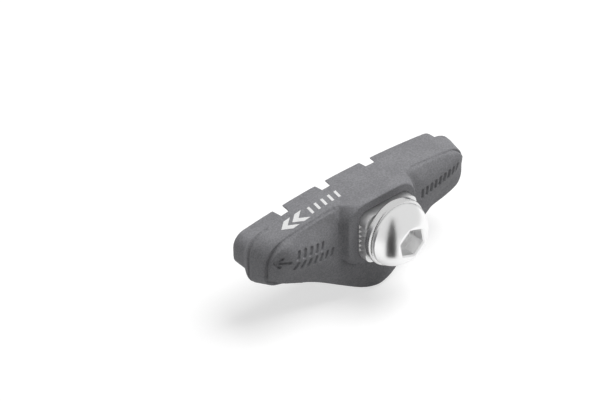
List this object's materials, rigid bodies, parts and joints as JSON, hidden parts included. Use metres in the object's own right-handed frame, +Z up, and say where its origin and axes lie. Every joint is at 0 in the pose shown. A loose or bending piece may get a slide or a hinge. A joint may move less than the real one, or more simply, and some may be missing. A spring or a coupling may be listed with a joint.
{
  "type": "bicycle rim brake pad",
  "caption": "One-piece rim brake pad for a road caliper: grooved rubber friction block on a moulded carrier with wings, and a dome-head bolt with washer on a toothed insert.",
  "frame": {"origin": "on the bolt axis, in the plane of the carrier's seat", "axes": "+X forward along the pad, +Y outboard along the bolt towards its head, +Z up"},
  "size_m": [0.05, 0.0203, 0.0216],
  "materials": {
    "friction_compound": "matte",
    "carrier_rubber": "matte",
    "insert_steel": "plated",
    "washer_steel": "plated",
    "bolt_steel": "plated"
  },
  "bodies": {
    "root": {"friction_block": "friction_compound", "carrier": "carrier_rubber", "threaded_insert": "insert_steel", "washer": "washer_steel", "fixing_bolt": "bolt_steel"}
  },
  "joints": []
}
